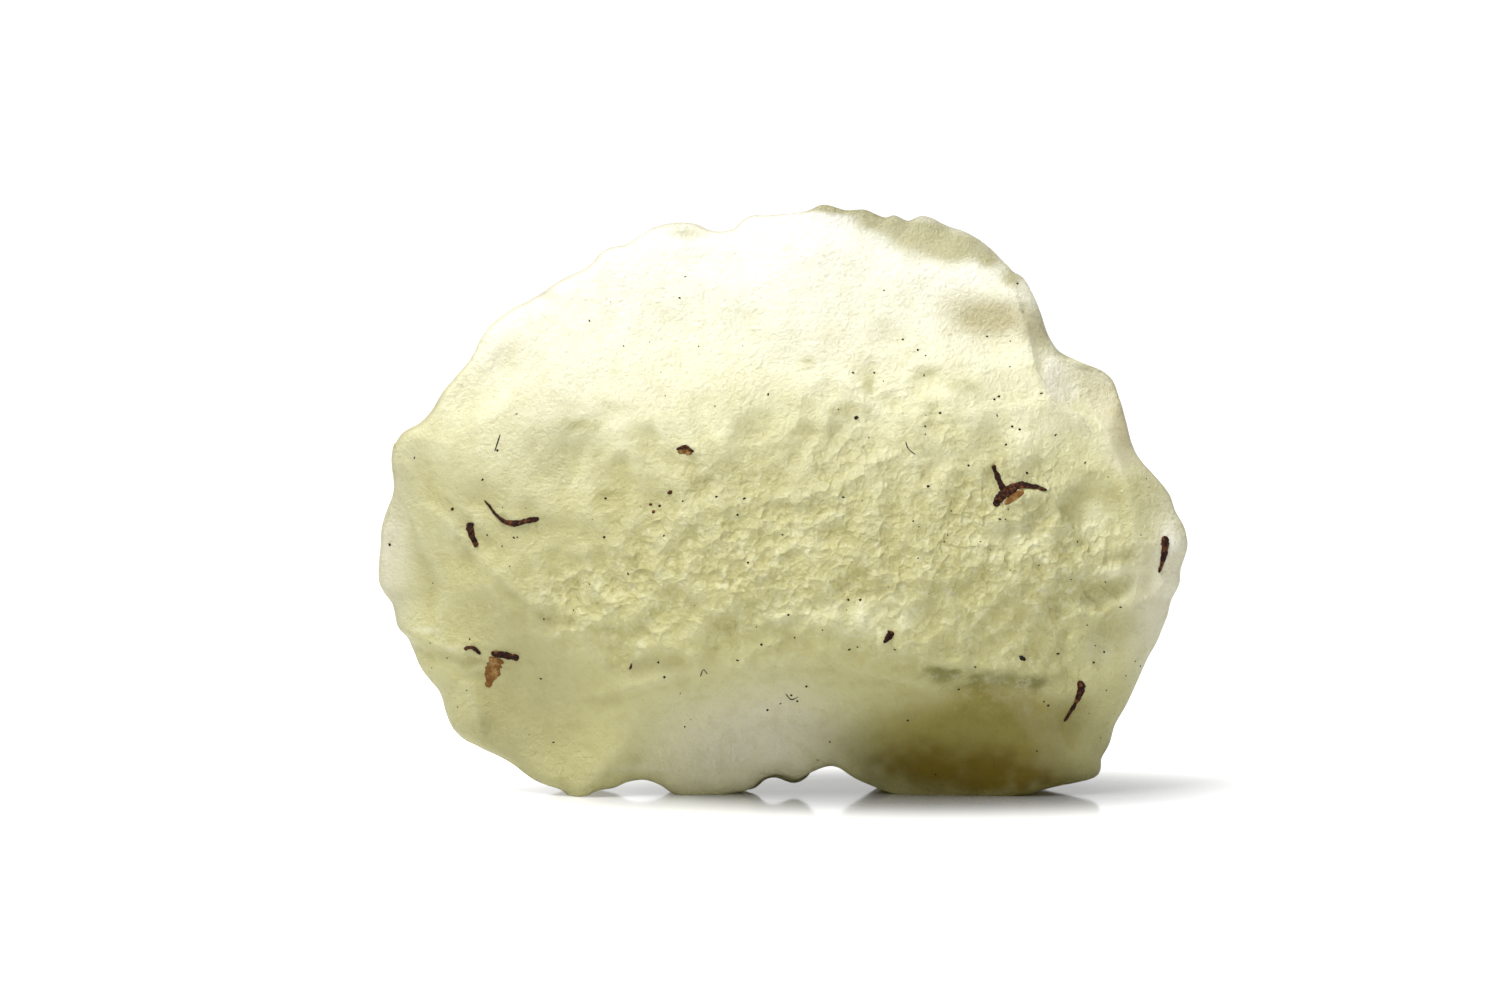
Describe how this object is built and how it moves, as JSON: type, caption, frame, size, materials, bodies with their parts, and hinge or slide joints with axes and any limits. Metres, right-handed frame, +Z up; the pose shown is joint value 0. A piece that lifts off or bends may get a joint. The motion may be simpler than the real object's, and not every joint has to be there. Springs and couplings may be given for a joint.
{
  "type": "libyan desert glass",
  "caption": "Wind-worn piece of frosted pale yellow natural silica glass, pitted and scarred, standing on its lower edge, with brown clay in its fissures.",
  "frame": {"origin": "under the middle of the bounding box, on the surface that the piece stands on", "axes": "+X along the piece to the right as seen from the front, +Y from the front face to the back face, +Z up"},
  "size_m": [0.054, 0.015, 0.0392],
  "materials": {
    "glass": "wind-frosted natural silica glass, pale yellow-green, translucent, olive where it is thick",
    "clay": "dry iron-stained clay, dark red-brown, matt"
  },
  "bodies": {
    "root": {"desert_glass": "glass", "clay_fork_blade": "clay", "clay_fork_prong": "clay", "clay_upper_left": "clay", "clay_left_stub": "clay", "clay_lower_left_bar": "clay", "clay_lower_left_arc": "clay", "clay_right_edge": "clay", "clay_lower_right": "clay", "clay_crescent": "clay", "clay_plug": "clay"}
  },
  "joints": []
}
